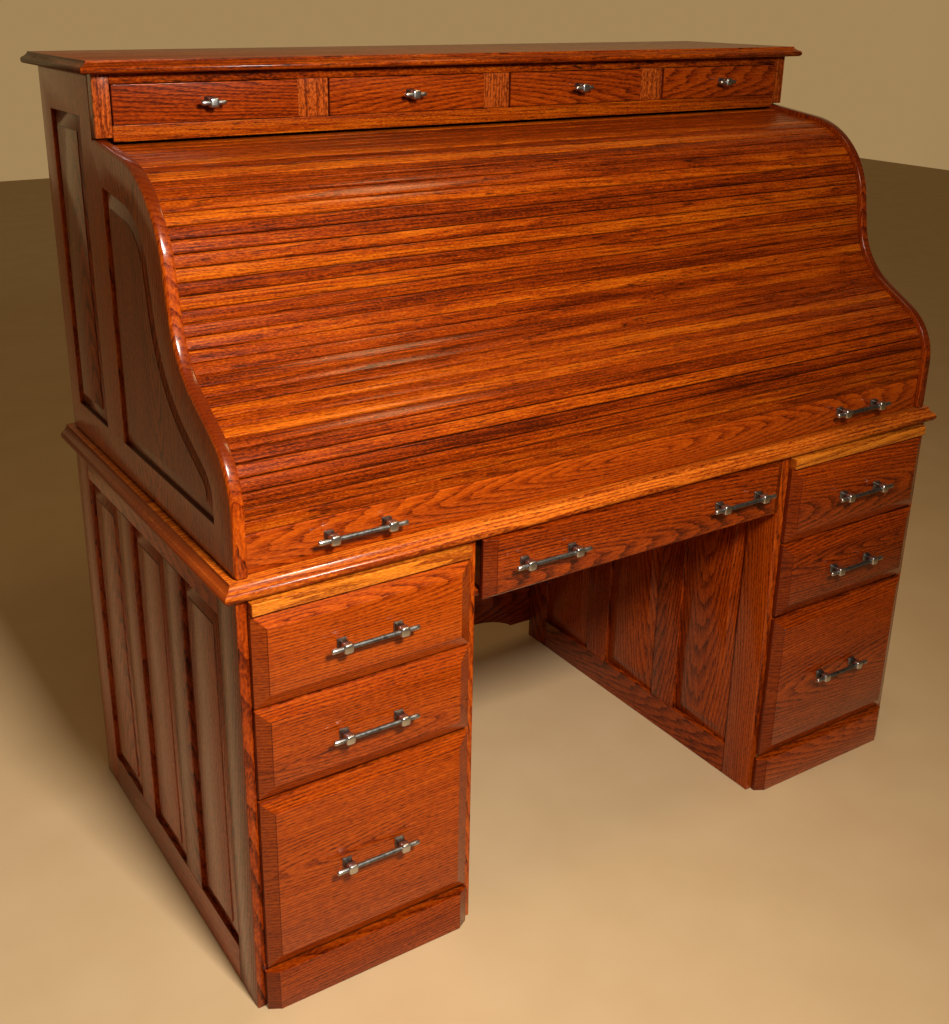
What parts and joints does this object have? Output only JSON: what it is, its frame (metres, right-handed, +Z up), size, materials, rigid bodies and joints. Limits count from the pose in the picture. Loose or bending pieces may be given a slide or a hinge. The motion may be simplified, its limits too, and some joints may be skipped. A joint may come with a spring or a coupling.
{
  "type": "roll top desk",
  "caption": "Roll top desk with an S-shaped tambour roll, two drawer pedestals, a kneehole drawer, pull-out writing boards and small drawers under the top.",
  "frame": {"origin": "on the floor under the middle of the bounding box", "axes": "+X to the sitter's right, -Y is the front, +Z up"},
  "size_m": [1.532, 0.827, 1.4327],
  "materials": {
    "oak": "red-brown stained oak under clear gloss lacquer",
    "pale_wood": "plain clear-finished hardwood",
    "pewter": "dark pewter, slightly worn bright on the edges"
  },
  "bodies": {
    "case": {"left_outer_side": "oak", "left_knee_side": "oak", "right_knee_side": "oak", "right_outer_side": "oak", "left_side_panels": "oak", "right_side_panels": "oak", "left_webs": "pale_wood", "right_webs": "pale_wood", "pedestal_bottoms": "pale_wood", "pedestal_backs": "oak", "kick_boards": "oak", "modesty_panel": "oak", "centre_runners": "pale_wood", "desktop": "oak", "left_deck_side": "oak", "right_deck_side": "oak", "deck_side_panels": "oak", "deck_back_panel": "oak", "fascia": "oak", "small_drawer_bay": "pale_wood", "top_board": "oak", "pigeonholes": "oak"},
    "left_drawer_1_body": {"left_drawer_1": "oak", "left_pull_1": "pewter"},
    "left_drawer_2_body": {"left_drawer_2": "oak", "left_pull_2": "pewter"},
    "left_drawer_3_body": {"left_drawer_3": "oak", "left_pull_3": "pewter"},
    "right_drawer_1_body": {"right_drawer_1": "oak", "right_pull_1": "pewter"},
    "right_drawer_2_body": {"right_drawer_2": "oak", "right_pull_2": "pewter"},
    "right_drawer_3_body": {"right_drawer_3": "oak", "right_pull_3": "pewter"},
    "centre_drawer_body": {"centre_drawer": "oak", "centre_pulls": "pewter"},
    "left_board_body": {"left_writing_board": "pale_wood"},
    "right_board_body": {"right_writing_board": "pale_wood"},
    "small_drawer_1_body": {"small_drawer_1": "oak", "small_knob_1": "pewter"},
    "small_drawer_2_body": {"small_drawer_2": "oak", "small_knob_2": "pewter"},
    "small_drawer_3_body": {"small_drawer_3": "oak", "small_knob_3": "pewter"},
    "small_drawer_4_body": {"small_drawer_4": "oak", "small_knob_4": "pewter"},
    "lift_rail_body": {"lift_rail": "oak", "lift_rail_tongues": "oak", "lift_rail_pulls": "pewter"},
    "tambour_1_body": {"tambour_1": "oak"},
    "tambour_2_body": {"tambour_2": "oak"},
    "tambour_3_body": {"tambour_3": "oak"},
    "tambour_4_body": {"tambour_4": "oak"},
    "tambour_5_body": {"tambour_5": "oak"},
    "tambour_6_body": {"tambour_6": "oak"},
    "tambour_7_body": {"tambour_7": "oak"},
    "tambour_8_body": {"tambour_8": "oak"},
    "tambour_9_body": {"tambour_9": "oak"},
    "tambour_10_body": {"tambour_10": "oak"}
  },
  "joints": [
    {"name": "left_drawer_1_slide", "type": "slide", "parent": "case", "child": "left_drawer_1_body", "axis": [0, -1, 0], "range_m": [0, 0.5]},
    {"name": "left_drawer_2_slide", "type": "slide", "parent": "case", "child": "left_drawer_2_body", "axis": [0, -1, 0], "range_m": [0, 0.5]},
    {"name": "left_drawer_3_slide", "type": "slide", "parent": "case", "child": "left_drawer_3_body", "axis": [0, -1, 0], "range_m": [0, 0.5]},
    {"name": "right_drawer_1_slide", "type": "slide", "parent": "case", "child": "right_drawer_1_body", "axis": [0, -1, 0], "range_m": [0, 0.5]},
    {"name": "right_drawer_2_slide", "type": "slide", "parent": "case", "child": "right_drawer_2_body", "axis": [0, -1, 0], "range_m": [0, 0.5]},
    {"name": "right_drawer_3_slide", "type": "slide", "parent": "case", "child": "right_drawer_3_body", "axis": [0, -1, 0], "range_m": [0, 0.5]},
    {"name": "centre_drawer_slide", "type": "slide", "parent": "case", "child": "centre_drawer_body", "axis": [0, -1, 0], "range_m": [0, 0.36]},
    {"name": "left_board_slide", "type": "slide", "parent": "case", "child": "left_board_body", "axis": [0, -1, 0], "range_m": [0, 0.34]},
    {"name": "right_board_slide", "type": "slide", "parent": "case", "child": "right_board_body", "axis": [0, -1, 0], "range_m": [0, 0.34]},
    {"name": "small_drawer_1_slide", "type": "slide", "parent": "case", "child": "small_drawer_1_body", "axis": [0, -1, 0], "range_m": [0, 0.14]},
    {"name": "small_drawer_2_slide", "type": "slide", "parent": "case", "child": "small_drawer_2_body", "axis": [0, -1, 0], "range_m": [0, 0.14]},
    {"name": "small_drawer_3_slide", "type": "slide", "parent": "case", "child": "small_drawer_3_body", "axis": [0, -1, 0], "range_m": [0, 0.14]},
    {"name": "small_drawer_4_slide", "type": "slide", "parent": "case", "child": "small_drawer_4_body", "axis": [0, -1, 0], "range_m": [0, 0.14]},
    {"name": "roll", "type": "hinge", "parent": "case", "child": "lift_rail_body", "pos_m": [0, 0.14124, 0.81132], "axis": [-1, 0, 0], "range_deg": [0, 83], "deforming": ["lift_rail_tongues"]},
    {"name": "tambour_1_roll", "type": "hinge", "parent": "case", "child": "tambour_1_body", "pos_m": [0, 0.13044, 0.82145], "axis": [-1, 0, 0], "range_deg": [0, 85.55], "deforming": ["tambour_1"]},
    {"name": "tambour_2_roll", "type": "hinge", "parent": "case", "child": "tambour_2_body", "pos_m": [0, 0.43434, 0.42411], "axis": [-1, 0, 0], "range_deg": [0, 41.76], "deforming": ["tambour_2"]},
    {"name": "tambour_3_roll", "type": "hinge", "parent": "case", "child": "tambour_3_body", "pos_m": [0, 0.51628, 0.32369], "axis": [-1, 0, 0], "range_deg": [0, 36.76], "deforming": ["tambour_3"]},
    {"name": "tambour_4_roll", "type": "hinge", "parent": "case", "child": "tambour_4_body", "pos_m": [0, 0.16166, 0.96729], "axis": [-1, 0, 0], "range_deg": [0, 114.59], "deforming": ["tambour_4"]},
    {"name": "tambour_5_roll", "type": "hinge", "parent": "case", "child": "tambour_5_body", "pos_m": [0, 0.11129, 1.11638], "axis": [-1, 0, 0], "range_deg": [0, 170.2], "deforming": ["tambour_5"]},
    {"name": "tambour_6_roll", "type": "hinge", "parent": "case", "child": "tambour_6_body", "pos_m": [0, 0.10927, 1.09848], "axis": [-1, 0, 0], "range_deg": [0, 162.26], "deforming": ["tambour_6"]},
    {"name": "tambour_7_roll", "type": "hinge", "parent": "case", "child": "tambour_7_body", "pos_m": [0, 0.08751, 1.03045], "axis": [-1, 0, 0], "range_deg": [0, 132.97], "deforming": ["tambour_7"]},
    {"name": "tambour_8_roll", "type": "hinge", "parent": "case", "child": "tambour_8_body", "pos_m": [0, 0.04504, 0.96527], "axis": [-1, 0, 0], "range_deg": [0, 107.34], "deforming": ["tambour_8"]},
    {"name": "tambour_9_roll", "type": "hinge", "parent": "case", "child": "tambour_9_body", "pos_m": [0, 0.01954, 0.9367], "axis": [-1, 0, 0], "range_deg": [0, 97.2], "deforming": ["tambour_9"]},
    {"name": "tambour_10_roll", "type": "hinge", "parent": "case", "child": "tambour_10_body", "pos_m": [0, 0.01954, 0.9367], "axis": [-1, 0, 0], "range_deg": [0, 97.2], "deforming": ["tambour_10"]}
  ],
  "couplings": [
    {"joint": "tambour_1_roll", "follows": "roll", "ratio": 1.0283},
    {"joint": "tambour_2_roll", "follows": "roll", "ratio": 0.50074},
    {"joint": "tambour_3_roll", "follows": "roll", "ratio": 0.4405},
    {"joint": "tambour_4_roll", "follows": "roll", "ratio": 1.3782},
    {"joint": "tambour_5_roll", "follows": "roll", "ratio": 2.0482},
    {"joint": "tambour_6_roll", "follows": "roll", "ratio": 1.9525},
    {"joint": "tambour_7_roll", "follows": "roll", "ratio": 1.5996},
    {"joint": "tambour_8_roll", "follows": "roll", "ratio": 1.2909},
    {"joint": "tambour_9_roll", "follows": "roll", "ratio": 1.1687},
    {"joint": "tambour_10_roll", "follows": "roll", "ratio": 1.1687}
  ]
}
